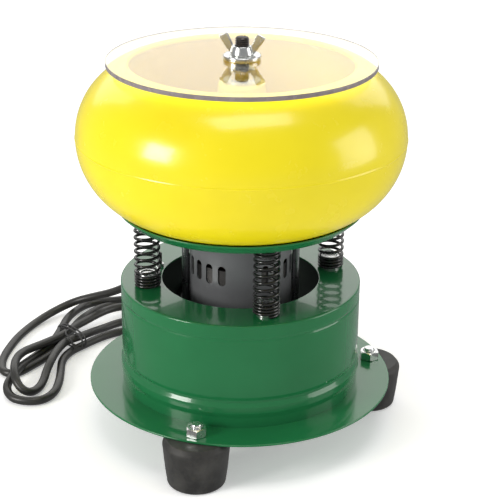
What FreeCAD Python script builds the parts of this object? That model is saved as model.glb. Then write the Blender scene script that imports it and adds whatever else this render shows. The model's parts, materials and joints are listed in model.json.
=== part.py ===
"""Vibratory rock tumbler: a bowl on four springs, shaken by an out-of-balance motor.

Millimetres, +Z up. The origin is on the vertical axis of the bowl, at the floor under the feet.
The front is -Y. Angles are measured from the front towards +X, as seen from above.
"""
import FreeCAD
import Part
import math
import os

from FreeCAD import Vector

os.makedirs("parts", exist_ok=True)

# ---------------------------------------------------------------- driving dimensions
FOOT_HEIGHT = 34.5
FOOT_TOP_R = 23.5
FOOT_BOTTOM_R = 20.0
FOOT_CIRCLE_R = 100.0
FOOT_ANGLES = {"front": -17.0, "right": 103.0, "rear": 223.0}
FOOT_POCKET_R = 9.5
FOOT_POCKET_TOP = 10.0
FOOT_BOLT_R = 4.0
FOOT_BOLT_HOLE_R = 4.3
FOOT_NUT_FLATS = 13.0
FOOT_NUT_HIGH = 6.5

FLANGE_R = 110.0
FLANGE_HOLE_R = 70.0
SHEET = 1.5

DRUM_R = 86.0
DRUM_TOP = 112.6
DRUM_SHEET = 1.2
DRUM_HOLE_R = 56.3
EARTH_PLACE = (-58.8, 16.2)
EARTH_SCREW_R = 1.5
EARTH_SCREW_HIGH = 11.0

SPRING_CIRCLE_R = 68.0
SPRING_ANGLES = {"front": 15.0, "right": 105.0, "rear": 195.0, "left": -75.0}
SPRING_COIL_R = 8.4
SPRING_WIRE = 2.1
CLOSED_PITCH = 2.25
CLOSED_TURNS_LOW = 3.75
CLOSED_TURNS_HIGH = 2.0
OPEN_TURNS = 6.75
SPIGOT_R = 6.8
SPIGOT_LOW = 11.0
SPIGOT_HIGH = 8.0
SEAT_SCREW_R = 2.4

PLATE_BOTTOM = 162.5
PLATE_FLAT_R = 80.0
PLATE_R = 88.2
PLATE_RIM_TOP = 170.6

MOTOR_R = 36.5
MOTOR_LOW = 84.0
MOTOR_HIGH = 150.0
CAN_WALL = 1.0
CAP = 3.0
CAP_EAR_R = 6.0
POST_R = 2.6
POST_CIRCLE_R = 39.5
SHAFT_R = 4.0
BEARING_R = 11.0
BEARING_WIDTH = 6.5
BALL_R = 1.75
BALL_CIRCLE_R = 7.5
BALLS = 7
SLOT_R = 2.9
SLOT_LOW = 119.0
SLOT_HIGH = 133.8
SLOT_STEP = 16.0
SLOT_GROUPS = (-45.0, 52.0, 135.0, 232.0)
CORE_LOW = 100.0
CORE_HIGH = 130.0
CORE_BORE_R = 20.3
ROTOR_R = 19.9
COIL_HIGH = 9.5
COIL_R = 33.0
COIL_BORE_R = 22.0
WEIGHT_R = 30.0
WEIGHT_HUB_R = 10.0
WEIGHT_LOW = 63.0
WEIGHT_HIGH = 76.0

STUD_R = 4.9
STUD_TOP = 288.0
THREAD_HOLE_R = 5.0
STUD_NUT_FLATS = 17.0
STUD_NUT_HIGH = 8.0
WASHER_R = 13.0
BOWL_WASHER_HIGH = 2.0
LID_WASHER_HIGH = 3.2
WING_TURN = -14.0

BOWL_R = 115.0
BOWL_EQUATOR = 219.8
BOWL_BOTTOM = 164.3
BOWL_TOP = 270.4
BOWL_WALL = 4.0
BOWL_LOW_CENTRE_R = 60.5
BOWL_HIGH_CENTRE_R = 66.75
MOUTH_R = 77.0
CONE_FOOT_R = 24.0
CONE_TOP_R = 16.0
CONE_TOP = 254.5
CONE_WALL = 3.5

LID_R = 92.7
LID_BOTTOM = 269.7
LID_THICK = 3.0

CORD_D = 6.6
GLAND_ANGLE = -150.0
GLAND_Z = 66.0
GLAND_TIP_R = 114.0
BLOCK_ANGLE = -120.0
BLOCK_R = 77.5
BLOCK_SIZE = (11.0, 24.0, 12.0)

# Free length of the lead, from the tip of its strain relief to the fold of the tied hank.
CORD_ROUTE = [
    (-57.0, 98.7, 66.0),
    (-67.5, 118.0, 65.0),
    (-77.5, 132.5, 55.0),
    (-92.0, 146.0, 40.0),
    (-108.0, 157.5, 28.0),
    (-124.5, 167.0, 20.0),
    (-142.0, 172.0, 13.0),
    (-159.0, 166.0, 6.5),
    (-173.0, 148.5, 3.5),
    (-183.5, 122.0, 3.4),
    (-188.5, 95.0, 3.4),
    (-189.5, 82.0, 3.4),
]

HANK_LOOPS_HIGH = 21.0
HANK_TAIL_HIGH = 14.0
TIE_FRONT = (-126.0, 101.0)
TIE_BACK = (-151.0, 127.0)
TIE_WIDTH = 2.4

# Outlines of the two halves of the hank, seen from above, on either side of its tie.
HANK_LOOPS = [
    TIE_FRONT,
    TIE_BACK,
    (-178.0, 84.0),
    (-183.0, 82.0),
    (-193.0, 82.0),
    (-193.0, 64.0),
    (-186.0, 48.0),
    (-182.0, 20.0),
    (-172.0, 6.5),
    (-148.0, 6.5),
    (-137.0, 18.0),
    (-136.0, 80.0),
]
HANK_TAIL = [
    TIE_BACK,
    TIE_FRONT,
    (-112.0, 115.0),
    (-96.0, 131.0),
    (-62.0, 137.5),
    (-46.0, 150.0),
    (-36.0, 160.0),
    (-12.0, 163.0),
    (-12.0, 182.0),
    (-20.0, 192.0),
    (-32.0, 206.0),
    (-52.0, 210.0),
    (-74.0, 207.0),
    (-106.0, 193.0),
    (-135.0, 192.0),
    (-145.0, 176.0),
    (-150.0, 152.0),
]

PLUG_X = -12.0
PLUG_Y = 171.0
PLUG_HALF_HEIGHT = 10.0
PLUG_TAIL = 22.0
PLUG_GRIP = 30.0
PLUG_WIDE = 26.0

# ---------------------------------------------------------------- helpers
UP = Vector(0, 0, 1)
ORIGIN = Vector(0, 0, 0)


def around(radius, angle, z=0.0):
    """The point at this radius and angle about the vertical axis."""
    turn = math.radians(angle)
    return Vector(radius * math.sin(turn), -radius * math.cos(turn), z)


def save(shape, name):
    shape.exportStep("parts/%s.step" % name)
    print("%-24s solids %2d  volume %10.1f  valid %s" % (
        name, len(shape.Solids), shape.Volume, shape.isValid()))


def group(solids):
    return Part.makeCompound(solids)


def rod(radius, low, high, at=ORIGIN):
    return Part.makeCylinder(radius, high - low, Vector(at.x, at.y, low), UP)


def ring(outer, inner, low, high, at=ORIGIN):
    return rod(outer, low, high, at).cut(rod(inner, low - 1, high + 1, at))


def hexagon(across_flats, low, high, at=ORIGIN, turn=0.0):
    corner = across_flats / math.sqrt(3)
    corners = []
    for k in range(7):
        a = math.radians(60 * k + turn)
        corners.append(Vector(at.x + corner * math.cos(a), at.y + corner * math.sin(a), low))
    prism = Part.Face(Part.makePolygon(corners)).extrude(Vector(0, 0, high - low))
    chamfer = rod(corner * 0.985, low, high, at)
    return prism.common(chamfer)


def hex_nut(across_flats, hole_r, low, high, at=ORIGIN, turn=0.0):
    return hexagon(across_flats, low, high, at, turn).cut(rod(hole_r, low - 1, high + 1, at))


def lathe(edges, at=ORIGIN):
    """Turn a closed outline in the XZ plane about the vertical axis."""
    solid = Part.Face(Part.Wire(edges)).revolve(ORIGIN, UP, 360)
    solid.translate(Vector(at.x, at.y, 0))
    return solid


def outline(points):
    """Straight edges through (radius, z) points, closed."""
    closed = points + points[:1]
    return [line(a, b) for a, b in zip(closed, closed[1:])]


def line(a, b):
    return Part.LineSegment(Vector(a[0], 0, a[1]), Vector(b[0], 0, b[1])).toShape()


def quarter(centre, half_width, half_height, start, end):
    """Part of an ellipse in the XZ plane, between two angles in degrees from +X."""
    across = Vector(half_width, 0, 0)
    along = Vector(0, 0, half_height)
    if half_width >= half_height:
        major, minor, shift, way = across, along, 0.0, 1.0
    else:
        major, minor, shift, way = along, across, 90.0, -1.0
    mid = Vector(centre[0], 0, centre[1])
    ellipse = Part.Ellipse(mid + major, mid + minor, mid)
    first, last = sorted((math.radians(way * (start - shift)), math.radians(way * (end - shift))))
    return Part.ArcOfEllipse(ellipse, first, last).toShape()


def rounded_path(points, show=False):
    """Straight runs joined by tangent arcs, each as large as its two runs allow."""
    knots = [Vector(*p) for p in points]
    edges = []
    start = knots[0]
    for before, here, after in zip(knots, knots[1:], knots[2:]):
        run_in = here - before
        run_out = after - here
        a = Vector(run_in).normalize()
        b = Vector(run_out).normalize()
        half_turn = a.getAngle(b) / 2
        shorter = min(run_in.Length, run_out.Length)
        reach = 0.45 * shorter
        radius = reach / math.tan(half_turn)
        enter = here - a * reach
        leave = here + b * reach
        inward = (b - a).normalize()
        middle = here + inward * (radius / math.cos(half_turn) - radius)
        edges.append(Part.LineSegment(start, enter).toShape())
        edges.append(Part.Arc(enter, middle, leave).toShape())
        start = leave
        if show:
            print("  run %.1f  turn %.1f deg  radius %.1f" % (
                run_in.Length, math.degrees(2 * half_turn), radius))
    edges.append(Part.LineSegment(start, knots[-1]).toShape())
    return Part.Wire(edges)


def tube(points, diameter, show=False):
    path = rounded_path(points, show)
    heading = (Vector(*points[1]) - Vector(*points[0])).normalize()
    section = Part.Wire(Part.makeCircle(diameter / 2, Vector(*points[0]), heading))
    body = path.makePipeShell([section], True, False)
    if show:
        expected = math.pi * diameter ** 2 / 4 * path.Length
        print("  length %.1f  volume %.1f, section times length %.1f" % (
            path.Length, body.Volume, expected))
    return body


def fillet_where(solid, radius, keep):
    return solid.makeFillet(radius, [edge for edge in solid.Edges if keep(edge)])


# ---------------------------------------------------------------- base
def make_feet():
    """Three rubber feet, each wider at the top, with a bolt pocket in the bottom."""
    for name, angle in FOOT_ANGLES.items():
        at = around(FOOT_CIRCLE_R, angle)
        body = Part.makeCone(FOOT_BOTTOM_R, FOOT_TOP_R, FOOT_HEIGHT, at, UP)
        body = fillet_where(body, 2.5, lambda edge: edge.Length > 100)
        body = body.cut(rod(FOOT_POCKET_R, -1, FOOT_POCKET_TOP, at))
        body = body.cut(rod(FOOT_BOLT_HOLE_R, 0, FOOT_HEIGHT + 1, at))
        save(body, "foot_" + name)


def foot_places():
    return [around(FOOT_CIRCLE_R, angle) for angle in FOOT_ANGLES.values()]


def make_foot_fasteners():
    """Bolts up through the feet, a washer under each head, and nuts on the flange."""
    flange_top = FOOT_HEIGHT + SHEET
    nut_top = flange_top + FOOT_NUT_HIGH
    washer_low = FOOT_POCKET_TOP - 1.6
    head_low = washer_low - 5.5
    bolts, washers, nuts = [], [], []
    for at, angle in zip(foot_places(), FOOT_ANGLES.values()):
        head = hexagon(FOOT_NUT_FLATS, head_low, washer_low, at, angle)
        bolts.append(head.fuse(rod(FOOT_BOLT_R, washer_low, nut_top + 2.1, at)))
        washers.append(ring(8.5, FOOT_BOLT_R + 0.2, washer_low, FOOT_POCKET_TOP, at))
        nuts.append(hex_nut(FOOT_NUT_FLATS, FOOT_BOLT_R + 0.05, flange_top, nut_top, at, angle + 20))
    save(group(bolts), "foot_bolts")
    save(group(washers), "foot_washers")
    save(group(nuts), "foot_nuts")


def make_flange():
    disc = ring(FLANGE_R, FLANGE_HOLE_R, FOOT_HEIGHT, FOOT_HEIGHT + SHEET)
    for at in foot_places():
        disc = disc.cut(rod(FOOT_BOLT_HOLE_R, FOOT_HEIGHT - 1, FOOT_HEIGHT + SHEET + 1, at))
    save(disc, "base_flange")


def make_drum():
    """Sheet drum with a rolled bead low on its wall and a fine groove under its top."""
    low = FOOT_HEIGHT + SHEET
    t = DRUM_SHEET
    wall = [
        (DRUM_R, low),
        (DRUM_R, low + 8.5),
        (DRUM_R + 0.9, low + 12.0),
        (DRUM_R + 0.9, low + 14.5),
        (DRUM_R - 0.9, low + 18.5),
        (DRUM_R - 0.9, low + 20.5),
        (DRUM_R, low + 23.0),
        (DRUM_R, DRUM_TOP - 11.6),
        (DRUM_R - 0.5, DRUM_TOP - 10.4),
        (DRUM_R, DRUM_TOP - 9.2),
        (DRUM_R, DRUM_TOP - 1.4),
        (DRUM_R - 1.4, DRUM_TOP),
        (DRUM_HOLE_R, DRUM_TOP),
    ]
    inside = [
        (DRUM_HOLE_R, DRUM_TOP - t),
        (DRUM_R - 1.4 - t / 2, DRUM_TOP - t),
        (DRUM_R - t, DRUM_TOP - 1.4 - t / 2),
    ]
    inside += [(r - t, z) for r, z in reversed(wall[:10])]
    drum = lathe(outline(wall + inside))
    for angle in SPRING_ANGLES.values():
        hole = rod(SEAT_SCREW_R + 0.3, DRUM_TOP - 5, DRUM_TOP + 1, around(SPRING_CIRCLE_R, angle))
        drum = drum.cut(hole)
    drum = drum.cut(rod(EARTH_SCREW_R + 0.2, DRUM_TOP - 5, DRUM_TOP + 1, Vector(*EARTH_PLACE, 0)))
    wall_hole = Part.makeCylinder(5.5, 12, around(80, GLAND_ANGLE, GLAND_Z), around(1, GLAND_ANGLE))
    save(drum.cut(wall_hole), "base_drum")


def make_earth_screw():
    """Long thin earthing screw that stands up beside the drum's top opening, with its nut."""
    at = Vector(*EARTH_PLACE, 0)
    under = DRUM_TOP - DRUM_SHEET
    screw = rod(2.8, under - 2.0, under, at)
    save(screw.fuse(rod(EARTH_SCREW_R, under, DRUM_TOP + EARTH_SCREW_HIGH, at)), "earth_screw")
    save(hex_nut(5.5, EARTH_SCREW_R + 0.05, DRUM_TOP, DRUM_TOP + 2.4, at), "earth_nut")


def make_spring_seats():
    """Round spigots that hold the springs' ends, with the screws that fix them."""
    low_spigots, low_screws, high_spigots, high_screws = [], [], [], []
    under = DRUM_TOP - DRUM_SHEET
    for angle in SPRING_ANGLES.values():
        at = around(SPRING_CIRCLE_R, angle)
        low_top = DRUM_TOP + SPIGOT_LOW
        low = rod(SPIGOT_R, DRUM_TOP, low_top, at)
        low = fillet_where(low, 1.5, lambda edge: edge.BoundBox.ZMin > low_top - 1)
        low_spigots.append(low.cut(rod(SEAT_SCREW_R + 0.1, DRUM_TOP - 1, low_top - 3, at)))
        low_screw = rod(4.5, under - 2.8, under, at)
        low_screws.append(low_screw.fuse(rod(SEAT_SCREW_R, under, low_top - 4, at)))
        high_low = PLATE_BOTTOM - SPIGOT_HIGH
        high = rod(SPIGOT_R, high_low, PLATE_BOTTOM, at)
        high_spigots.append(high.cut(rod(SEAT_SCREW_R + 0.1, high_low + 1, PLATE_BOTTOM + 1, at)))
        head = Part.makeCone(SEAT_SCREW_R, 4.0, SHEET, Vector(at.x, at.y, PLATE_BOTTOM), UP)
        high_screws.append(head.fuse(rod(SEAT_SCREW_R, high_low + 2, PLATE_BOTTOM, at)))
    save(group(low_spigots), "spring_lower_spigots")
    save(group(low_screws), "spring_lower_screws")
    save(group(high_spigots), "spring_upper_spigots")
    save(group(high_screws), "spring_upper_screws")


def make_springs():
    """Four compression springs: closed turns at both ends, open turns between."""
    low = DRUM_TOP + SPRING_WIRE / 2 + 0.05
    high = PLATE_BOTTOM - SPRING_WIRE / 2 - 0.05
    closed_low = CLOSED_PITCH * CLOSED_TURNS_LOW
    closed_high = CLOSED_PITCH * CLOSED_TURNS_HIGH
    open_pitch = (high - low - closed_low - closed_high) / OPEN_TURNS
    turns = CLOSED_TURNS_LOW + OPEN_TURNS + CLOSED_TURNS_HIGH
    per_turn = 16
    points = []
    for k in range(int(turns * per_turn) + 1):
        t = k / per_turn
        rise = CLOSED_PITCH * min(t, CLOSED_TURNS_LOW)
        rise += open_pitch * min(max(t - CLOSED_TURNS_LOW, 0), OPEN_TURNS)
        rise += CLOSED_PITCH * max(t - CLOSED_TURNS_LOW - OPEN_TURNS, 0)
        points.append(around(SPRING_COIL_R, 360 * t, low + rise))
    curve = Part.BSplineCurve()
    curve.interpolate(points)
    heading = curve.tangent(curve.FirstParameter)[0]
    section = Part.Wire(Part.makeCircle(SPRING_WIRE / 2, points[0], heading))
    spring = Part.Wire(curve.toShape()).makePipeShell([section], True, True)
    for name, angle in SPRING_ANGLES.items():
        copy = spring.copy()
        copy.rotate(ORIGIN, UP, angle)
        copy.translate(around(SPRING_CIRCLE_R, angle))
        save(copy, "spring_" + name)


# ---------------------------------------------------------------- supply
def make_gland():
    """Strain relief: a collar on each side of the drum's wall, and a tapered tail."""
    heading = around(1, GLAND_ANGLE)

    def barrel(radius, start, end):
        return Part.makeCylinder(radius, end - start, around(start, GLAND_ANGLE, GLAND_Z), heading)

    tail_start = 89.0
    gland = barrel(8.0, 81.6, 84.0).fuse(barrel(5.3, 84.0, 86.6))
    gland = gland.fuse(barrel(8.0, 86.6, tail_start))
    tail = Part.makeCone(6.2, 4.1, GLAND_TIP_R - tail_start,
                         around(tail_start, GLAND_ANGLE, GLAND_Z), heading)
    save(gland.fuse(tail).removeSplitter(), "cord_strain_relief")


def make_wiring():
    """Terminal block on the flange inside the drum, and the leads to and from it."""
    ledge = FOOT_HEIGHT + SHEET
    long, wide, high = BLOCK_SIZE
    block_top = ledge + high
    block = Part.makeBox(long, wide, high, Vector(BLOCK_R - long / 2, -wide / 2, ledge))
    screws = []
    for y in (-7.5, 0.0, 7.5):
        block = block.cut(Part.makeCylinder(2.1, 5, Vector(BLOCK_R, y, block_top - 4), UP))
        screws.append(Part.makeCylinder(2.0, 3, Vector(BLOCK_R, y, block_top - 4), UP))
    for shape in [block] + screws:
        shape.rotate(ORIGIN, UP, BLOCK_ANGLE - 90)
    save(block, "terminal_block")
    save(group(screws), "terminal_screws")
    supply = [around(81.4, -150, GLAND_Z), around(74, -149, GLAND_Z), around(69, -141, 63),
              around(70, -131, 60), around(75, -125, 56), around(76, -124, block_top + 0.1)]
    save(tube(supply, 5.0), "supply_lead")
    can_side = MOTOR_R + 0.7
    motor = [around(77.5, -116, block_top + 0.1), around(77.2, -115.5, 56), around(72, -114, 63),
             around(62, -112, 69), around(53, -112, 79), around(47.5, -112, 90),
             around(43, -112, 96), around(can_side, -112, 97)]
    save(tube(motor, 4.0), "motor_lead")


def slab(corners, low, high, corner_r):
    """A flat-topped solid over an outline, with its upright edges rounded."""
    points = [Vector(x, y, low) for x, y in corners]
    body = Part.Face(Part.makePolygon(points + points[:1])).extrude(Vector(0, 0, high - low))
    tie_line = (Vector(*TIE_FRONT, 0), Vector(*TIE_BACK, 0))

    def rounds(edge):
        upright = edge.BoundBox.ZLength > high - low - 0.01
        place = Vector(edge.BoundBox.Center.x, edge.BoundBox.Center.y, 0)
        at_tie = min(place.distanceToPoint(end) for end in tie_line) < 1
        return upright and not at_tie and abs(place.x + 189.0) > 4.0

    return fillet_where(body, corner_r, rounds)


def make_cord():
    """The lead from the strain relief to the hank, and the hank in its tie."""
    save(tube(CORD_ROUTE, CORD_D, show=True), "power_cord_lead")
    loops = slab(HANK_LOOPS, 0.0, HANK_LOOPS_HIGH, 6.0)
    tail = slab(HANK_TAIL, 0.0, HANK_TAIL_HIGH, 5.0)
    tail = tail.cut(tube(CORD_ROUTE, CORD_D + 0.8))
    save(loops, "power_cord_loops")
    save(tail, "power_cord_hank")
    front, back = Vector(*TIE_FRONT, 0), Vector(*TIE_BACK, 0)
    across = back - front
    width = across.Length + 2 * TIE_WIDTH
    high = HANK_TAIL_HIGH + 1.2
    band = Part.makeBox(width, TIE_WIDTH, high, Vector(-width / 2, -TIE_WIDTH / 2, 0))
    band.rotate(ORIGIN, UP, math.degrees(math.atan2(across.y, across.x)))
    band.translate((front + back) * 0.5)
    save(band.cut(loops).cut(tail), "cord_tie")


def make_plug():
    """Moulded plug with a tapered tail, two flat blades and a round earth pin."""
    ahead = Vector(1, 0, 0)
    z = PLUG_HALF_HEIGHT
    tail = Part.makeCone(CORD_D / 2 + 0.3, 6.0, PLUG_TAIL, Vector(PLUG_X, PLUG_Y, z), ahead)
    grip_x = PLUG_X + PLUG_TAIL
    grip = Part.makeBox(PLUG_GRIP, PLUG_WIDE, 2 * z, Vector(grip_x, PLUG_Y - PLUG_WIDE / 2, 0))
    grip = grip.makeFillet(4.0, [edge for edge in grip.Edges if edge.BoundBox.XLength > PLUG_GRIP - 1])
    grip = fillet_where(grip, 2.0, lambda edge: edge.BoundBox.XLength < 0.1)
    save(tail.fuse(grip), "power_plug")
    face_x = grip_x + PLUG_GRIP
    pins = []
    for side in (-1, 1):
        corner = Vector(face_x, PLUG_Y + side * 6.35 - 0.75, z - 0.7)
        pins.append(Part.makeBox(17.5, 1.5, 6.35, corner))
    pins.append(Part.makeCylinder(2.4, 20, Vector(face_x, PLUG_Y, z - 6.0), ahead))
    save(group(pins), "plug_pins")


# ---------------------------------------------------------------- vibrating head
def make_plate():
    """Dished plate under the bowl: flat, with a lip that opens outwards."""
    top = PLATE_BOTTOM + SHEET
    plate = lathe(outline([
        (5.1, PLATE_BOTTOM),
        (PLATE_FLAT_R, PLATE_BOTTOM),
        (PLATE_FLAT_R + 2.2, PLATE_BOTTOM + 0.8),
        (PLATE_R, PLATE_RIM_TOP - 1.0),
        (PLATE_R - 0.9, PLATE_RIM_TOP),
        (PLATE_FLAT_R + 1.2, top + 0.8),
        (PLATE_FLAT_R - 0.8, top),
        (5.1, top),
    ]))
    for angle in SPRING_ANGLES.values():
        at = around(SPRING_CIRCLE_R, angle)
        sink = Part.makeCone(2.5, 4.1, SHEET, Vector(at.x, at.y, PLATE_BOTTOM), UP)
        plate = plate.cut(sink)
    save(plate, "top_plate")


def make_stud():
    """Threaded stud up the axis, clamped to the plate between two nuts."""
    top = PLATE_BOTTOM + SHEET
    nut_low = PLATE_BOTTOM - 6
    save(rod(STUD_R, nut_low - 3, STUD_TOP), "center_stud")
    save(hex_nut(STUD_NUT_FLATS, STUD_R + 0.05, nut_low, PLATE_BOTTOM), "stud_lower_nut")
    save(hex_nut(STUD_NUT_FLATS, STUD_R + 0.05, top, top + STUD_NUT_HIGH), "stud_upper_nut")


def make_motor_case():
    """Vented can between two caps, hung from the plate on two posts."""
    can = ring(MOTOR_R, MOTOR_R - CAN_WALL, MOTOR_LOW, MOTOR_HIGH)
    low, high = SLOT_LOW + SLOT_R, SLOT_HIGH - SLOT_R
    slots = []
    for group_angle in SLOT_GROUPS:
        for k in range(4):
            slot = Part.makeBox(2 * SLOT_R, 6, high - low, Vector(-SLOT_R, -MOTOR_R - 3, low))
            for z in (low, high):
                end = Part.makeCylinder(SLOT_R, 6, Vector(0, -MOTOR_R - 3, z), Vector(0, 1, 0))
                slot = slot.fuse(end)
            slot.rotate(ORIGIN, UP, group_angle + SLOT_STEP * (k - 1.5))
            slots.append(slot)
    save(can.cut(slots), "motor_can")
    pocket = BEARING_WIDTH + 0.5
    make_cap("motor_top_cap", MOTOR_HIGH, MOTOR_HIGH - pocket)
    make_cap("motor_bottom_cap", MOTOR_LOW - CAP, MOTOR_LOW)
    cap_low = MOTOR_LOW - CAP
    posts, nuts = [], []
    for at in post_places():
        posts.append(rod(POST_R, cap_low - 8, PLATE_BOTTOM, at))
        nuts.append(hex_nut(10.0, POST_R + 0.05, cap_low - 5, cap_low, at))
    save(group(posts), "motor_posts")
    save(group(nuts), "motor_post_nuts")


def post_places():
    return [Vector(side * POST_CIRCLE_R, 0, 0) for side in (-1, 1)]


def make_cap(name, low, boss_low):
    """End cap: a disc with two ears, and a bearing housing on its inner side."""
    high = low + CAP
    boss_high = boss_low + BEARING_WIDTH + 0.5
    cap = rod(MOTOR_R, low, high)
    for at in post_places():
        cap = cap.fuse(rod(CAP_EAR_R, low, high, at))
    cap = cap.fuse(rod(BEARING_R + 3, boss_low, boss_high))
    for at in post_places():
        cap = cap.cut(rod(POST_R + 0.1, low - 1, high + 1, at))
    cap = cap.cut(rod(BEARING_R, boss_low, boss_high))
    cap = cap.cut(rod(SHAFT_R + 0.5, low - 1, high + 1))
    save(cap.removeSplitter(), name)


def make_motor_inside():
    """Wound stator, rotor core and shaft, and a ball bearing at each end."""
    save(ring(MOTOR_R - CAN_WALL, CORE_BORE_R, CORE_LOW, CORE_HIGH), "stator_core")
    coils = []
    for low in (CORE_LOW - COIL_HIGH, CORE_HIGH):
        coil = ring(COIL_R, COIL_BORE_R, low, low + COIL_HIGH)
        coils.append(fillet_where(coil, 3.0, lambda edge: edge.BoundBox.ZLength < 0.1))
    save(group(coils), "stator_coils")
    save(ring(ROTOR_R, SHAFT_R, CORE_LOW, CORE_HIGH), "rotor_core")
    save(rod(SHAFT_R, WEIGHT_LOW - 1, MOTOR_HIGH - 0.5), "motor_shaft")
    clearance = 0.06
    outers, inners, balls = [], [], []
    for low in (MOTOR_LOW + 0.3, MOTOR_HIGH - BEARING_WIDTH - 0.3):
        high = low + BEARING_WIDTH
        outers.append(ring(BEARING_R, BALL_CIRCLE_R + BALL_R + clearance, low, high))
        inners.append(ring(BALL_CIRCLE_R - BALL_R - clearance, SHAFT_R, low, high))
        for k in range(BALLS):
            at = around(BALL_CIRCLE_R, 360 * k / BALLS, (low + high) / 2)
            balls.append(Part.makeSphere(BALL_R, at))
    save(group(outers), "bearing_outer_rings")
    save(group(inners), "bearing_inner_rings")
    save(group(balls), "bearing_balls")


def make_eccentric_weight():
    """Half-disc weight clamped on the shaft under the motor."""
    half = Part.makeBox(2 * WEIGHT_R, WEIGHT_R, WEIGHT_HIGH, Vector(-WEIGHT_R, 0, 0))
    weight = rod(WEIGHT_R, WEIGHT_LOW, WEIGHT_HIGH).common(half)
    weight = weight.fuse(rod(WEIGHT_HUB_R, WEIGHT_LOW, WEIGHT_HIGH))
    weight = weight.cut(rod(SHAFT_R, WEIGHT_LOW - 1, WEIGHT_HIGH + 1))
    middle = (WEIGHT_LOW + WEIGHT_HIGH) / 2
    back = Vector(0, -1, 0)
    weight = weight.cut(Part.makeCylinder(2.5, 12, Vector(0, 0, middle), back))
    save(weight.removeSplitter(), "eccentric_weight")
    save(Part.makeCylinder(2.45, 5.6, Vector(0, -SHAFT_R - 0.1, middle), back), "weight_screw")


# ---------------------------------------------------------------- bowl and lid
def make_bowl():
    """Hollow ring-shaped bowl with an open mouth and a hollow cone up its middle."""
    w = BOWL_WALL
    low = (BOWL_LOW_CENTRE_R, BOWL_EQUATOR)
    high = (BOWL_HIGH_CENTRE_R, BOWL_EQUATOR)
    low_half = (BOWL_R - low[0], BOWL_EQUATOR - BOWL_BOTTOM)
    high_half = (BOWL_R - high[0], BOWL_TOP - BOWL_EQUATOR)

    def mouth_angle(half):
        return math.degrees(math.acos((MOUTH_R - high[0]) / half[0]))

    def mouth_z(half):
        return BOWL_EQUATOR + half[1] * math.sin(math.radians(mouth_angle(half)))

    high_inner = (high_half[0] - w, high_half[1] - w)
    floor = BOWL_BOTTOM + w
    edges = [
        line((STUD_R + 0.5, CONE_TOP), (CONE_TOP_R, CONE_TOP)),
        line((CONE_TOP_R, CONE_TOP), (CONE_FOOT_R, floor)),
        line((CONE_FOOT_R, floor), (low[0], floor)),
        quarter(low, low_half[0] - w, low_half[1] - w, -90, 0),
        quarter(high, high_inner[0], high_inner[1], 0, mouth_angle(high_inner)),
        line((MOUTH_R, mouth_z(high_inner)), (MOUTH_R, mouth_z(high_half))),
        quarter(high, high_half[0], high_half[1], 0, mouth_angle(high_half)),
        quarter(low, low_half[0], low_half[1], -90, 0),
        line((low[0], BOWL_BOTTOM), (CONE_FOOT_R - CONE_WALL, BOWL_BOTTOM)),
        line((CONE_FOOT_R - CONE_WALL, BOWL_BOTTOM), (CONE_TOP_R - CONE_WALL, CONE_TOP - w)),
        line((CONE_TOP_R - CONE_WALL, CONE_TOP - w), (STUD_R + 0.5, CONE_TOP - w)),
        line((STUD_R + 0.5, CONE_TOP - w), (STUD_R + 0.5, CONE_TOP)),
    ]
    save(lathe(Part.__sortEdges__(edges)), "bowl")
    nut_low = CONE_TOP + BOWL_WASHER_HIGH
    save(ring(WASHER_R, THREAD_HOLE_R + 0.3, CONE_TOP, nut_low), "bowl_washer")
    nut = hex_nut(STUD_NUT_FLATS, THREAD_HOLE_R, nut_low, nut_low + STUD_NUT_HIGH, turn=10)
    save(nut, "bowl_nut")


def make_lid():
    top = LID_BOTTOM + LID_THICK
    lid = ring(LID_R, STUD_R + 0.5, LID_BOTTOM, top)
    lid = fillet_where(lid, 0.4, lambda edge: edge.Length > 300 and edge.BoundBox.ZLength < 0.1)
    save(lid, "lid")
    wing_low = top + LID_WASHER_HIGH
    save(ring(WASHER_R, THREAD_HOLE_R + 0.3, top, wing_low), "lid_washer")
    make_wing_nut(wing_low)


def make_wing_nut(low):
    """Wing nut: a round tapered hub with two flat wings that lean outwards."""
    hub = Part.makeCone(8.0, 6.0, 6.2, Vector(0, 0, low), UP)
    wing_points = [(4.8, low + 3.8), (10.6, low + 14.8), (16.6, low + 11.8), (8.4, low + 0.6)]
    thick = 2.4
    nut = hub
    for side in (-1, 1):
        corners = [Vector(side * x, -thick / 2, z) for x, z in wing_points]
        wing = Part.Face(Part.makePolygon(corners + corners[:1])).extrude(Vector(0, thick, 0))
        nut = nut.fuse(wing)
    nut = nut.cut(rod(THREAD_HOLE_R, low - 1, low + 20))
    nut.rotate(ORIGIN, UP, WING_TURN)
    save(nut.removeSplitter(), "wing_nut")


make_feet()
make_foot_fasteners()
make_flange()
make_drum()
make_earth_screw()
make_spring_seats()
make_springs()
make_gland()
make_wiring()
make_cord()
make_plug()
make_plate()
make_stud()
make_motor_case()
make_motor_inside()
make_eccentric_weight()
make_bowl()
make_lid()
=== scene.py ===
import json
import math

import bmesh
import bpy
from mathutils import Matrix, Vector


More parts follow.
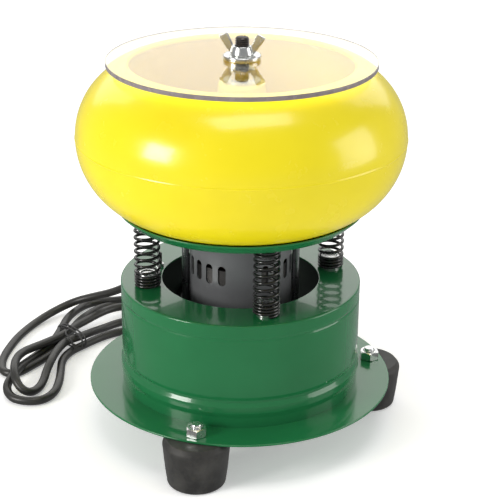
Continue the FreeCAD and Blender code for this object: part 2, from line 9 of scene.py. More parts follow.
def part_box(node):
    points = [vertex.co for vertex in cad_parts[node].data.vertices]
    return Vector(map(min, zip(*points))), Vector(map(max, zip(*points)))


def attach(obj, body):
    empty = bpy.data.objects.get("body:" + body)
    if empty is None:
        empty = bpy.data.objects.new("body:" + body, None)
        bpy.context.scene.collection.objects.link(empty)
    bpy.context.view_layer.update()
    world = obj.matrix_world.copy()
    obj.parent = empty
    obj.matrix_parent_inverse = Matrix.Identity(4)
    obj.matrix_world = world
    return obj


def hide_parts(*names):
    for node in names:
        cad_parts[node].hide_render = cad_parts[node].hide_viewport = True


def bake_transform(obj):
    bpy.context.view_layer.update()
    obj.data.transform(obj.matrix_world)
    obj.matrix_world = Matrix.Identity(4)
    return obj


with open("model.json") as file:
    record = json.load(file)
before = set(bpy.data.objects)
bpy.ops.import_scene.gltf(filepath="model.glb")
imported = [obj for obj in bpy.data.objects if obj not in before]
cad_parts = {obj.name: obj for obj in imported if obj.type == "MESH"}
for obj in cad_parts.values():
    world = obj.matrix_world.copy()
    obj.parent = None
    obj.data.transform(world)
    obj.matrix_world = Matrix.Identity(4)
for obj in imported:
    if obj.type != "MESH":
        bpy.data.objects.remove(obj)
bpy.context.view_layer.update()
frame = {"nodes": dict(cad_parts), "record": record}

MM = 0.001


# ---------------------------------------------------------------- places and sizes
def low_mm(node):
    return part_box(node)[0] / MM


def high_mm(node):
    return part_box(node)[1] / MM


FOOT_TOP = high_mm("foot_front").z
FLANGE_TOP = high_mm("base_flange").z
FLANGE_R = high_mm("base_flange").x
FLANGE_HOLE_R = 70.0
NUT_FLATS = 13.0
DRUM_TOP = high_mm("base_drum").z
DRUM_R = 86.0
DRUM_HOLE_R = 56.3
DRUM_SHEET = 1.2
BEAD_OUT = 0.9
PLATE_BOTTOM = low_mm("top_plate").z
PLATE_RIM = high_mm("top_plate").z
PLATE_R = high_mm("top_plate").x
PLATE_FLAT_R = 80.5
PLATE_SHEET = 1.5
BOWL_BOTTOM = low_mm("bowl").z
BOWL_R = high_mm("bowl").x
BOWL_WALL = 4.0
EQUATOR = 219.8
MOUTH_R = 77.0
LID_LOW = low_mm("lid").z
LID_HIGH = high_mm("lid").z
LID_R = high_mm("lid").x
MOTOR_R = high_mm("motor_can").x
MOTOR_LOW = low_mm("motor_can").z
MOTOR_HIGH = high_mm("motor_can").z
SLOT_LOW = 119.0
SLOT_HIGH = 133.8
SLOT_R = 2.9
SLOT_STEP = 16.0
SLOT_GROUPS = (-45, 52, 135, 232)
STUD_LOW = low_mm("center_stud").z
STUD_TOP = high_mm("center_stud").z
STUD_R = high_mm("center_stud").x
STUD_PITCH = 1.5
STUD_NUT_FLATS = 17.0
WASHER_R = 13.0
WING_TURN = -14.0

FOOT_ANGLES = {"front": -17.0, "right": 103.0, "rear": 223.0}
FOOT_CIRCLE_R = 100.0
SPRING_ANGLES = {"front": 15.0, "right": 105.0, "rear": 195.0, "left": -75.0}
SPRING_CIRCLE_R = 68.0
SPRING_COIL_R = 8.4
SPRING_WIRE = 2.1
SPIGOT_R = 6.8
CLOSED_PITCH = 2.25
CLOSED_TURNS_LOW = 3.75
OPEN_TURNS = 6.75
CLOSED_TURNS_HIGH = 2.0


def around(radius, angle, z=0.0):
    """The point at this radius and angle about the vertical axis, in millimetres."""
    turn = math.radians(angle)
    return Vector((radius * math.sin(turn), -radius * math.cos(turn), z))


FOOT_PLACES = [around(FOOT_CIRCLE_R, a) for a in FOOT_ANGLES.values()]
SPRING_PLACES = [around(SPRING_CIRCLE_R, a) for a in SPRING_ANGLES.values()]


# ---------------------------------------------------------------- camera, lights and floor
FOCAL_LENGTH = 103.52
CAMERA_DISTANCE = 0.9509
CAMERA_HEIGHT = 0.5245
CAMERA_TILT = -0.3910
CAMERA_SWING = 0.0070
CAMERA_ROLL = 0.0100
FLOOR_SIZE = 12.0


def make_camera():
    lens = bpy.data.cameras.new("camera")
    lens.sensor_width = 36.0
    lens.lens = FOCAL_LENGTH
    lens.clip_end = 50.0
    camera = bpy.data.objects.new("camera", lens)
    bpy.context.scene.collection.objects.link(camera)
    bpy.context.scene.camera = camera
    side = Vector((math.cos(CAMERA_SWING), -math.sin(CAMERA_SWING), 0))
    level = Vector((math.sin(CAMERA_SWING), math.cos(CAMERA_SWING), 0))
    ahead = level * math.cos(CAMERA_TILT) + Vector((0, 0, math.sin(CAMERA_TILT)))
    above = side.cross(ahead)
    right = side * math.cos(CAMERA_ROLL) + above * math.sin(CAMERA_ROLL)
    up = above * math.cos(CAMERA_ROLL) - side * math.sin(CAMERA_ROLL)
    turn = Matrix((right, up, -ahead)).transposed().to_4x4()
    camera.matrix_world = Matrix.Translation((0, -CAMERA_DISTANCE, CAMERA_HEIGHT)) @ turn


def softbox(name, azimuth, elevation, distance, width, height, power):
    """A rectangular light aimed at the middle of the object."""
    lamp = bpy.data.lights.new(name, "AREA")
    lamp.shape = "RECTANGLE"
    lamp.size = width
    lamp.size_y = height
    lamp.energy = power
    lamp.color = (1.0, 0.985, 0.96)
    light = bpy.data.objects.new(name, lamp)
    bpy.context.scene.collection.objects.link(light)
    target = Vector((0, 0, 0.2))
    rise = math.radians(elevation)
    flat = around(distance * math.cos(rise), azimuth)
    place = target + Vector((flat.x, flat.y, distance * math.sin(rise)))
    light.location = place
    light.rotation_euler = (target - place).to_track_quat("-Z", "Y").to_euler()
    light.visible_camera = False


def make_lights():
    softbox("softbox_left", -57, 17, 1.7, 0.56, 0.58, 17)
    softbox("softbox_right", 84, 10, 2.2, 1.2, 1.4, 16)
    softbox("softbox_top", 20, 78, 1.9, 1.3, 0.7, 12)
    softbox("softbox_back", 180, 33, 2.6, 5.2, 2.0, 43)
    world = bpy.data.worlds.new("studio")
    bpy.context.scene.world = world
    world.use_nodes = True
    background = world.node_tree.nodes["Background"]
    background.inputs["Color"].default_value = (0.97, 0.985, 1.0, 1)
    background.inputs["Strength"].default_value = 0.33
    bpy.context.scene.view_settings.view_transform = "Standard"


def make_floor():
    """Pale paper sweep, lit a little by itself and left out of reflections."""
    bpy.ops.mesh.primitive_grid_add(x_subdivisions=4, y_subdivisions=4, size=FLOOR_SIZE)
    floor = bpy.context.object
    floor.name = "floor"
    paint = Paint("floor_paper", (0.92, 0.92, 0.92), roughness=0.9)
    paint.tint(paint.noise(9.0, 3), (0.91, 0.91, 0.91), (0.94, 0.94, 0.94))
    paint.shader.inputs["Emission Color"].default_value = (1, 1, 1, 1)
    paint.shader.inputs["Emission Strength"].default_value = 0.32
    paint.shader.inputs["Specular IOR Level"].default_value = 0.1
    floor.data.materials.append(paint.material)
    floor.visible_glossy = False


# ---------------------------------------------------------------- materials
class Paint:
    """One procedural material, with short calls for what its nodes have in common."""

    def __init__(self, name, colour, roughness=0.5, metallic=0.0, coat=0.0, coat_roughness=0.05):
        self.material = bpy.data.materials.new(name)
        self.material.use_nodes = True
        self.tree = self.material.node_tree
        self.shader = self.tree.nodes["Principled BSDF"]
        self.place = self.tree.nodes.new("ShaderNodeTexCoord").outputs["Object"]
        self.normal = None
        sockets = self.shader.inputs
        sockets["Base Color"].default_value = (*colour, 1)
        sockets["Roughness"].default_value = roughness
        sockets["Metallic"].default_value = metallic
        sockets["Coat Weight"].default_value = coat
        sockets["Coat Roughness"].default_value = coat_roughness

    def link(self, start, end):
        self.tree.links.new(start, end)

    def stretched(self, x, y, z):
        """The place on the object with its axes scaled, for streaks and layers."""
        mapping = self.tree.nodes.new("ShaderNodeMapping")
        mapping.inputs["Scale"].default_value = (x, y, z)
        self.link(self.place, mapping.inputs["Vector"])
        return mapping.outputs["Vector"]

    def noise(self, scale, detail=2.0, roughness=0.5, place=None):
        node = self.tree.nodes.new("ShaderNodeTexNoise")
        node.inputs["Scale"].default_value = scale
        node.inputs["Detail"].default_value = detail
        node.inputs["Roughness"].default_value = roughness
        self.link(place or self.place, node.inputs["Vector"])
        return node.outputs["Fac"]

    def cells(self, scale):
        node = self.tree.nodes.new("ShaderNodeTexVoronoi")
        node.inputs["Scale"].default_value = scale
        self.link(self.place, node.inputs["Vector"])
        return node.outputs["Distance"]

    def bands(self, scale, distortion=0.0):
        """Level bands, one above another."""
        node = self.tree.nodes.new("ShaderNodeTexWave")
        node.bands_direction = "Z"
        node.inputs["Scale"].default_value = scale
        node.inputs["Distortion"].default_value = distortion
        self.link(self.place, node.inputs["Vector"])
        return node.outputs["Fac"]

    def ramp(self, value, start, end, low=0.0, high=1.0):
        """Values from start to end spread over low to high, and held beyond them."""
        node = self.tree.nodes.new("ShaderNodeMapRange")
        node.inputs["From Min"].default_value = start
        node.inputs["From Max"].default_value = end
        node.inputs["To Min"].default_value = low
        node.inputs["To Max"].default_value = high
        self.link(value, node.inputs["Value"])
        return node.outputs["Result"]

    def times(self, a, b):
        node = self.tree.nodes.new("ShaderNodeMath")
        node.operation = "MULTIPLY"
        self.link(a, node.inputs[0])
        self.link(b, node.inputs[1])
        return node.outputs["Value"]

    def mix(self, factor, first, second):
        node = self.tree.nodes.new("ShaderNodeMix")
        node.data_type = "RGBA"
        self.link(factor, node.inputs["Factor"])
        for colour, socket in ((first, node.inputs[6]), (second, node.inputs[7])):
            if isinstance(colour, tuple):
                socket.default_value = (*colour, 1)
            else:
                self.link(colour, socket)
        return node.outputs[2]

    def tint(self, factor, first, second):
        """Base colour that runs from first to second as factor goes from 0 to 1."""
        colour = self.mix(factor, first, second)
        self.link(colour, self.shader.inputs["Base Color"])
        return colour

    def polish(self, factor, low, high):
        """Roughness from low to high as factor goes from 0 to 1."""
        self.link(self.ramp(factor, 0.0, 1.0, low, high), self.shader.inputs["Roughness"])

    def bump(self, height, depth, strength=1.0):
        """Adds relief of this depth in metres to what is there already."""
        node = self.tree.nodes.new("ShaderNodeBump")
        node.inputs["Distance"].default_value = depth
        node.inputs["Strength"].default_value = strength
        self.link(height, node.inputs["Height"])
        if self.normal:
            self.link(self.normal, node.inputs["Normal"])
        self.normal = node.outputs["Normal"]
        self.link(self.normal, self.shader.inputs["Normal"])


def yellow_plastic():
    paint = Paint("yellow_plastic", (0.88, 0.73, 0.012), coat=0.3, coat_roughness=0.11)
    broad = paint.noise(14.0, 3)
    paint.tint(paint.ramp(broad, 0.35, 0.65), (0.85, 0.70, 0.004), (0.91, 0.76, 0.009))
    paint.polish(paint.noise(60.0, 4, 0.6), 0.16, 0.34)
    paint.bump(paint.noise(30.0, 1), 0.0008, 0.3)
    paint.bump(paint.noise(900.0, 2), 0.00003, 0.5)
    return paint.material


def green_paint():
    paint = Paint("green_paint", (0.012, 0.155, 0.050), coat=0.5, coat_roughness=0.03)
    colour = paint.mix(paint.noise(22.0, 3), (0.010, 0.140, 0.044), (0.015, 0.172, 0.058))
    speck = paint.ramp(paint.cells(75.0), 0.050, 0.040)
    chosen = paint.ramp(paint.noise(31.0, 1), 0.56, 0.58)
    dust = paint.times(speck, chosen)
    colour = paint.mix(dust, colour, (0.55, 0.62, 0.55))
    paint.link(colour, paint.shader.inputs["Base Color"])
    paint.polish(paint.noise(55.0, 4, 0.6), 0.14, 0.26)
    paint.bump(paint.noise(26.0, 1), 0.0012, 0.35)
    paint.bump(paint.noise(420.0, 2), 0.00003, 0.5)
    paint.bump(dust, 0.0003, 0.7)
    paint.shader.inputs["Specular IOR Level"].default_value = 0.35
    return paint.material


def painted_shade_inside():
    """Dark green painted shade for the inside of the drum, which is really the same green paint lying in
    shadow.
    """
    paint = Paint("painted_shade_inside", (0.004, 0.014, 0.007), roughness=0.6)
    paint.tint(paint.noise(30.0, 3), (0.003, 0.010, 0.005), (0.006, 0.020, 0.010))
    paint.polish(paint.noise(70.0, 3), 0.45, 0.65)
    paint.bump(paint.noise(300.0, 2), 0.00005, 0.5)
    return paint.material


def black_rubber():
    paint = Paint("black_rubber", (0.035, 0.034, 0.031), roughness=0.6)
    bloom = paint.ramp(paint.noise(70.0, 5, 0.65), 0.4, 0.72)
    paint.tint(bloom, (0.018, 0.0175, 0.016), (0.050, 0.048, 0.043))
    paint.polish(paint.noise(140.0, 3), 0.42, 0.68)
    paint.bump(paint.noise(700.0, 3), 0.00010, 0.6)
    paint.bump(paint.noise(45.0, 2), 0.0006, 0.3)
    paint.shader.inputs["Sheen Weight"].default_value = 0.05
    paint.shader.inputs["Sheen Roughness"].default_value = 0.5
    return paint.material


def metal(name, dark, light, smooth, rough, metallic=1.0, streak=None):
    """Plated, ground or blackened metal: broad colour change, fine relief, uneven polish."""
    paint = Paint(name, light, metallic=metallic)
    paint.tint(paint.noise(160.0, 4, 0.6), dark, light)
    paint.polish(paint.noise(260.0, 4, 0.6), smooth, rough)
    place = paint.stretched(*streak) if streak else None
    paint.bump(paint.noise(900.0, 2, place=place), 0.00004, 0.5)
    return paint


def zinc_steel():
    return metal("zinc_steel", (0.60, 0.61, 0.60), (0.86, 0.87, 0.86), 0.16, 0.34).material


def spring_steel():
    paint = metal("spring_steel", (0.004, 0.004, 0.004), (0.014, 0.013, 0.012), 0.16, 0.34, metallic=0.0)
    paint.shader.inputs["Coat Weight"].default_value = 0.4
    return paint.material


def black_steel():
    dark, light = (0.030, 0.027, 0.026), (0.110, 0.095, 0.086)
    return metal("black_steel", dark, light, 0.20, 0.38, metallic=0.7).material


def bare_steel():
    dark, light = (0.24, 0.24, 0.25), (0.46, 0.46, 0.47)
    return metal("bare_steel", dark, light, 0.20, 0.38, streak=(1, 1, 30)).material


def motor_grey():
    paint = Paint("motor_grey", (0.13, 0.132, 0.138), metallic=0.25, coat=0.3, coat_roughness=0.25)
    paint.tint(paint.noise(40.0, 4, 0.6), (0.150, 0.153, 0.160), (0.205, 0.208, 0.216))
    paint.polish(paint.noise(120.0, 3), 0.34, 0.50)
    paint.bump(paint.noise(850.0, 2), 0.00004, 0.5)
    paint.bump(paint.noise(30.0, 2), 0.0008, 0.25)
    return paint.material


def lamination():
    paint = Paint("lamination", (0.22, 0.22, 0.23), roughness=0.45, metallic=0.9)
    layers = paint.bands(1000.0)
    paint.tint(paint.times(layers, paint.noise(90.0, 3)), (0.03, 0.028, 0.027), (0.16, 0.155, 0.15))
    paint.bump(layers, 0.00015, 0.6)
    return paint.material


def copper_coil():
    paint = Paint("copper_coil", (0.55, 0.20, 0.07), roughness=0.38, metallic=0.6)
    wires = paint.bands(520.0, 3.0)
    paint.tint(paint.times(wires, paint.noise(60.0, 3)), (0.03, 0.011, 0.005), (0.20, 0.075, 0.028))
    paint.bump(wires, 0.0004, 0.7)
    return paint.material


def cast_weight():
    paint = Paint("cast_weight", (0.10, 0.10, 0.10), roughness=0.6, metallic=0.8)
    paint.tint(paint.noise(110.0, 5, 0.65), (0.055, 0.053, 0.050), (0.17, 0.165, 0.16))
    paint.polish(paint.noise(200.0, 3), 0.45, 0.75)
    paint.bump(paint.noise(480.0, 4, 0.65), 0.00025, 0.7)
    return paint.material


def brass_screw():
    return metal("brass_screw", (0.55, 0.36, 0.12), (0.80, 0.60, 0.27), 0.18, 0.34).material


def terminal_plastic():
    paint = Paint("terminal_plastic", (0.68, 0.66, 0.60), roughness=0.42)
    paint.tint(paint.noise(80.0, 3), (0.60, 0.58, 0.52), (0.74, 0.72, 0.66))
    paint.bump(paint.noise(800.0, 2), 0.00005, 0.5)
    return paint.material


def black_cord():
    paint = Paint("black_cord", (0.040, 0.040, 0.036), roughness=0.42, coat=0.2, coat_roughness=0.3)
    paint.tint(paint.noise(55.0, 4, 0.6), (0.014, 0.014, 0.012), (0.032, 0.031, 0.028))
    paint.polish(paint.noise(140.0, 3), 0.34, 0.52)
    paint.bump(paint.noise(1100.0, 2), 0.00004, 0.5)
    return paint.material


def plug_black():
    paint = Paint("plug_black", (0.032, 0.032, 0.033), roughness=0.5)
    paint.tint(paint.noise(70.0, 3), (0.024, 0.024, 0.025), (0.046, 0.046, 0.047))
    paint.polish(paint.noise(180.0, 3), 0.40, 0.60)
    paint.bump(paint.noise(1300.0, 2), 0.00008, 0.6)
    return paint.material


def clear_lid():
    """Clear acrylic with a soft haze of fine scratches."""
    paint = Paint("clear_lid", (0.99, 0.985, 0.955), roughness=0.02)
    sockets = paint.shader.inputs
    paint.tint(paint.noise(20.0, 2), (0.99, 0.94, 0.72), (0.995, 0.955, 0.78))
    sockets["Transmission Weight"].default_value = 1.0
    sockets["IOR"].default_value = 1.5
    paint.polish(paint.noise(40.0, 5, 0.7), 0.015, 0.06)
    paint.bump(paint.noise(12.0, 1), 0.0006, 0.12)
    return paint.material


def lid_edge_painted_reflection():
    """The lid's sawn and polished rim, painted an opaque greyish mauve: a painted reflection in place of the
    light the clear edge gathers.
    """
    paint = Paint("lid_edge_painted_reflection", (0.24, 0.205, 0.215), roughness=0.25)
    paint.tint(paint.noise(90.0, 3), (0.19, 0.16, 0.17), (0.29, 0.25, 0.26))
    paint.polish(paint.noise(160.0, 3), 0.18, 0.36)
    paint.bump(paint.noise(600.0, 2, place=paint.stretched(1, 1, 20)), 0.00005, 0.5)
    return paint.material


# ---------------------------------------------------------------- mesh building
def finished(name, mesh, material, sharp=35.0):
    """Links a mesh as an object with smooth faces, split where it turns by more than sharp degrees."""
    mesh.polygons.foreach_set("use_smooth", [True] * len(mesh.polygons))
    mesh.set_sharp_from_angle(angle=math.radians(sharp))
    mesh.materials.append(material)
    piece = bpy.data.objects.new(name, mesh)
    bpy.context.scene.collection.objects.link(piece)
    return piece


def from_bmesh(name, build, material, sharp=35.0):
    bmesh.ops.recalc_face_normals(build, faces=build.faces)
    mesh = bpy.data.meshes.new(name)
    build.to_mesh(mesh)
    build.free()
    return finished(name, mesh, material, sharp)


def arc(centre, half_width, half_height, start, end, steps):
    """Points on an ellipse in the (radius, height) plane, from start to end in degrees."""
    points = []
    for k in range(steps + 1):
        a = math.radians(start + (end - start) * k / steps)
        points.append((centre[0] + half_width * math.cos(a), centre[1] + half_height * math.sin(a)))
    return points


def soften(corners, steps=6):
    """A closed outline from corners of (radius, height, rounding radius)."""
    points = []
    count = len(corners)
    for k, (r, z, rounding) in enumerate(corners):
        here = Vector((r, z))
        if rounding <= 0:
            points.append((r, z))
            continue
        before = Vector(corners[k - 1][:2]) - here
        after = Vector(corners[(k + 1) % count][:2]) - here
        half = before.angle(after) / 2
        reach = min(rounding / math.tan(half), 0.48 * before.length, 0.48 * after.length)
        size = reach * math.tan(half)
        before.normalize()
        after.normalize()
        centre = here + (before + after).normalized() * (size / math.sin(half))
        first = here + before * reach - centre
        last = here + after * reach - centre
        sweep = first.angle_signed(last)
        for j in range(steps + 1):
            turned = first.copy()
            turned.rotate(Matrix.Rotation(-sweep * j / steps, 2))
            points.append(tuple(centre + turned))
    return supported(points)


def supported(points, reach=0.4):
    """Adds a point close to each end of every long straight run, so that its shading stays flat."""
    result = []
    for k, point in enumerate(points):
        here, ahead = Vector(point), Vector(points[(k + 1) % len(points)])
        run = ahead - here
        result.append(point)
        if run.length > 6 * reach:
            result.append(tuple(here + run.normalized() * reach))
            result.append(tuple(ahead - run.normalized() * reach))
    return result


def lathe_into(build, profile, segments, place=None, closed=True):
    """Turns a (radius, height) outline about the vertical axis and adds it to build."""
    place = place or Matrix.Identity(4)
    rings = []
    for r, z in profile:
        ring = []
        for k in range(segments if r > 1e-6 else 1):
            a = 2 * math.pi * k / segments
            point = place @ Vector((r * math.sin(a), -r * math.cos(a), z))
            ring.append(build.verts.new(point * MM))
        rings.append(ring)
    pairs = list(zip(rings, rings[1:]))
    if closed:
        pairs.append((rings[-1], rings[0]))
    for a, b in pairs:
        for k in range(segments):
            j = (k + 1) % segments
            corners = [a[k % len(a)], a[j % len(a)], b[j % len(b)], b[k % len(b)]]
            face = list(dict.fromkeys(corners))
            if len(face) > 2:
                build.faces.new(face)


def lathe(name, profile, material, segments=128, places=None, closed=True, sharp=35.0):
    build = bmesh.new()
    for place in places or [Matrix.Identity(4)]:
        lathe_into(build, profile, segments, place, closed)
    return from_bmesh(name, build, material, sharp)


def shifts(places):
    return [Matrix.Translation(place) for place in places]


def hex_into(build, flats, low, high, hole_r, place, per_side=8):
    """A chamfered hexagonal nut, or a bolt head where hole_r is 0."""
    half = flats / 2
    face_r = half * 0.94
    rings = []
    for k in range(6 * per_side):
        a = math.radians(360.0 * k / (6 * per_side))
        within = (math.degrees(a) + 30.0) % 60.0 - 30.0
        corner = half / math.cos(math.radians(within))
        drop = (corner - face_r) * 0.58
        column = [(face_r, low), (corner, low + drop), (corner, high - drop), (face_r, high)]
        if hole_r:
            column += [(hole_r + 0.6, high), (hole_r, high - 0.6), (hole_r, low + 0.6), (hole_r + 0.6, low)]
        ring = []
        for r, z in column:
            point = place @ Vector((r * math.cos(a), r * math.sin(a), z))
            ring.append(build.verts.new(point * MM))
        rings.append(ring)
    for a, b in zip(rings, rings[1:] + rings[:1]):
        count = len(a)
        for k in range(count if hole_r else count - 1):
            j = (k + 1) % count
            build.faces.new((a[k], a[j], b[j], b[k]))
    if not hole_r:
        build.faces.new([ring[-1] for ring in rings])
        build.faces.new([ring[0] for ring in reversed(rings)])


def thread_into(build, major, minor, pitch, low, high, place=None, segments=36, per_turn=6):
    """A screw thread that tapers off at its top, capped at both ends."""
    place = place or Matrix.Identity(4)
    rows = int((high - low) / pitch * per_turn)
    rings = []
    for row in range(rows + 1):
        z = low + (high - low) * row / rows
        fade = min(1.0, (high - z) / 1.2)
        crest = major - (major - minor * 0.97) * (1 - fade)
        ring = []
        for k in range(segments):
            turn = k / segments
            phase = (z / pitch - turn) % 1.0
            ridge = 1.0 - abs(2.0 * phase - 1.0)
            ridge = min(max((ridge - 0.12) / 0.70, 0.0), 1.0)
            r = min(minor + (major - minor) * ridge, crest)
            a = 2 * math.pi * turn
            point = place @ Vector((r * math.sin(a), -r * math.cos(a), z))
            ring.append(build.verts.new(point * MM))
        rings.append(ring)
    for a, b in zip(rings, rings[1:]):
        for k in range(segments):
            j = (k + 1) % segments
            build.faces.new((a[k], a[j], b[j], b[k]))
    build.faces.new(list(reversed(rings[0])))
    build.faces.new(rings[-1])


def tube_into(build, points, radius, sides=12):
    """A round tube along points in millimetres, with flat ends."""
    knots = [Vector(p) for p in points]
    heading = (knots[1] - knots[0]).normalized()
    across = heading.orthogonal().normalized()
    rings = []
    for k, here in enumerate(knots):
        ahead = knots[min(k + 1, len(knots) - 1)] - knots[max(k - 1, 0)]
        ahead.normalize()
        across = (across - ahead * across.dot(ahead)).normalized()
        up = ahead.cross(across)
        ring = []
        for j in range(sides):
            a = 2 * math.pi * j / sides
            point = here + (across * math.cos(a) + up * math.sin(a)) * radius
            ring.append(build.verts.new(point * MM))
        rings.append(ring)
    for a, b in zip(rings, rings[1:]):
        for k in range(sides):
            j = (k + 1) % sides
            build.faces.new((a[k], a[j], b[j], b[k]))
    build.faces.new(list(reversed(rings[0])))
    build.faces.new(rings[-1])


def tube(name, points, radius, material, sides=12):
    build = bmesh.new()
    tube_into(build, points, radius, sides)
    return from_bmesh(name, build, material, 50.0)


def apply_modifiers(piece):
    bpy.context.view_layer.update()
    graph = bpy.context.evaluated_depsgraph_get()
    mesh = bpy.data.meshes.new_from_object(piece.evaluated_get(graph))
    piece.modifiers.clear()
    old = piece.data
    piece.data = mesh
    bpy.data.meshes.remove(old)


def settle(piece, body, slot, *nodes):
    """Puts a finished piece on its body, for these CAD nodes; its slot argument is not used."""
    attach(piece, body)
    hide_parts(*nodes)
    return piece


# ---------------------------------------------------------------- mains lead
CORD_D = 6.6
GLAND_ANGLE = -150.0
GLAND_Z = 66.0
GLAND_TIP_R = 114.0
PLUG_X = -12.0
PLUG_Y = 171.0
PLUG_HALF_HEIGHT = 10.0

# The same route as the CAD lead, from the strain relief down to the fold of the hank.
CORD_ROUTE = [
    (-57.0, 98.7, 66.0), (-67.5, 118.0, 65.0), (-77.5, 132.5, 55.0), (-92.0, 146.0, 40.0),
    (-108.0, 157.5, 28.0), (-124.5, 167.0, 20.0), (-142.0, 172.0, 13.0), (-159.0, 166.0, 6.5),
    (-173.0, 148.5, 3.5), (-183.5, 122.0, 3.4), (-188.5, 95.0, 3.4), (-189.5, 82.0, 3.4),
]

# The hank, strand by strand: it passes five times through its tie.
FOLD = [
    (-189.5, 74.5, 3.4), (-187.0, 59.5, 3.4), (-179.5, 54.5, 3.4), (-172.5, 58.0, 3.4),
    (-165.5, 68.5, 3.4), (-157.0, 81.0, 3.4), (-150.0, 97.0, 3.4), (-144.0, 115.0, 3.4),
]
BACK_TURN = [
    (-138.5, 147.5, 3.4), (-130.5, 166.0, 3.4), (-120.0, 181.0, 3.4), (-107.0, 187.0, 3.4),
    (-88.0, 193.0, 3.4), (-70.0, 201.5, 3.4), (-52.0, 206.0, 3.4), (-35.0, 202.0, 3.4),
    (-25.0, 189.0, 3.4), (-29.5, 175.0, 3.8), (-46.0, 169.0, 8.5), (-62.0, 171.5, 10.5),
    (-78.5, 181.5, 10.5), (-92.5, 187.0, 9.5), (-104.0, 186.5, 8.0), (-119.0, 190.0, 5.0),
    (-132.0, 188.0, 3.5), (-141.0, 174.0, 3.8), (-146.5, 150.5, 6.5), (-148.0, 122.5, 9.6),
]
OUTER_LOOP = [
    (-152.5, 99.5, 8.0), (-160.0, 91.5, 4.5), (-167.0, 79.5, 3.8), (-172.0, 61.5, 7.0),
    (-174.5, 42.5, 10.4), (-178.0, 32.0, 8.0), (-178.0, 24.0, 5.5), (-173.0, 15.0, 4.0),
    (-166.0, 11.5, 3.4), (-157.0, 10.0, 3.4), (-148.0, 13.0, 3.4), (-141.5, 24.0, 3.4),
    (-140.0, 41.0, 3.4), (-141.0, 60.0, 3.4), (-142.5, 79.0, 3.4), (-137.5, 95.0, 3.4),
]
FRONT_TURN = [
    (-128.5, 106.0, 3.4), (-118.0, 118.5, 3.4), (-108.0, 127.5, 3.4), (-98.0, 133.5, 3.4),
    (-82.0, 136.5, 3.4), (-65.5, 142.5, 3.4), (-54.0, 153.5, 3.4), (-54.0, 168.0, 3.4),
    (-64.5, 175.5, 4.2), (-79.0, 172.5, 6.6), (-91.0, 170.0, 9.0), (-102.0, 168.5, 10.0),
    (-112.5, 161.5, 10.2), (-121.0, 151.0, 10.2), (-128.5, 139.5, 10.2), (-136.5, 128.0, 10.4),
]
INNER_LOOP = [
    (-142.5, 114.0, 11.0), (-149.5, 103.5, 11.0), (-156.5, 94.5, 11.5), (-164.5, 84.0, 12.5),
    (-172.0, 72.5, 14.0), (-175.0, 56.5, 16.2), (-174.0, 39.0, 17.0), (-171.5, 27.5, 13.5),
    (-168.0, 22.5, 9.5), (-163.0, 20.0, 6.5), (-158.0, 22.5, 4.6), (-154.0, 32.0, 3.6),
    (-152.0, 43.0, 4.6), (-151.0, 54.5, 7.5), (-149.0, 65.0, 10.0), (-147.0, 80.5, 10.4),
    (-143.0, 96.0, 10.2), (-137.5, 103.5, 10.2),
]
LAST_STRAND = [
    (-130.0, 111.0, 9.4), (-123.0, 125.0, 6.4), (-114.0, 139.0, 3.6), (-101.5, 151.5, 3.4),
    (-82.0, 157.5, 4.2), (-66.0, 158.0, 8.8), (-52.0, 160.0, 10.5), (-38.0, 165.0, 10.5),
    (-24.0, 170.0, 10.1), (-12.0, 171.0, 10.0), (2.0, 171.0, 10.0),
]
HANK_ROUTE = FOLD + BACK_TURN + OUTER_LOOP + FRONT_TURN + INNER_LOOP + LAST_STRAND


def make_cord():
    data = bpy.data.curves.new("power_cord", "CURVE")
    data.dimensions = "3D"
    line = data.splines.new("NURBS")
    points = CORD_ROUTE + HANK_ROUTE
    line.points.add(len(points) - 1)
    for knot, (x, y, z) in zip(line.points, points):
        knot.co = (x * MM, y * MM, z * MM, 1)
    line.order_u = 3
    line.use_endpoint_u = True
    line.resolution_u = 6
    data.bevel_depth = CORD_D / 2 * MM
    data.bevel_resolution = 5
    data.use_fill_caps = True
    data.materials.append(black_cord())
    cord = bpy.data.objects.new("power_cord", data)
    bpy.context.scene.collection.objects.link(cord)
    settle(cord, "base", "black_cord", "power_cord_lead", "power_cord_loops", "power_cord_hank")
    return cord


def make_strain_relief():
    """Ribbed rubber sleeve that tapers from the drum's wall down to the cord."""
    corners = [(0.0, 81.6, 0), (8.0, 81.6, 0.6), (8.0, 84.0, 0.3), (5.3, 84.0, 0), (5.3, 86.6, 0),
               (8.2, 86.6, 0.6), (8.2, 89.2, 0.8)]
    ribs = 6
    for k in range(ribs):
        start = 90.0 + k * 3.6
        wide = 6.3 - 0.36 * k
        corners += [(wide - 1.0, start, 0.3), (wide, start + 0.8, 0.3), (wide - 0.1, start + 2.4, 0.3)]
    corners += [(4.1, GLAND_TIP_R - 1.4, 0.3), (3.8, GLAND_TIP_R, 0.4), (0.0, GLAND_TIP_R, 0)]
    heading = around(1, GLAND_ANGLE)
    turn = Vector((0, 0, 1)).rotation_difference(heading).to_matrix().to_4x4()
    place = Matrix.Translation((0, 0, GLAND_Z)) @ turn
    relief = lathe("cord_strain_relief_look", soften(corners, 3), black_rubber_mat, 40, [place])
    return settle(relief, "base", "black_rubber", "cord_strain_relief")


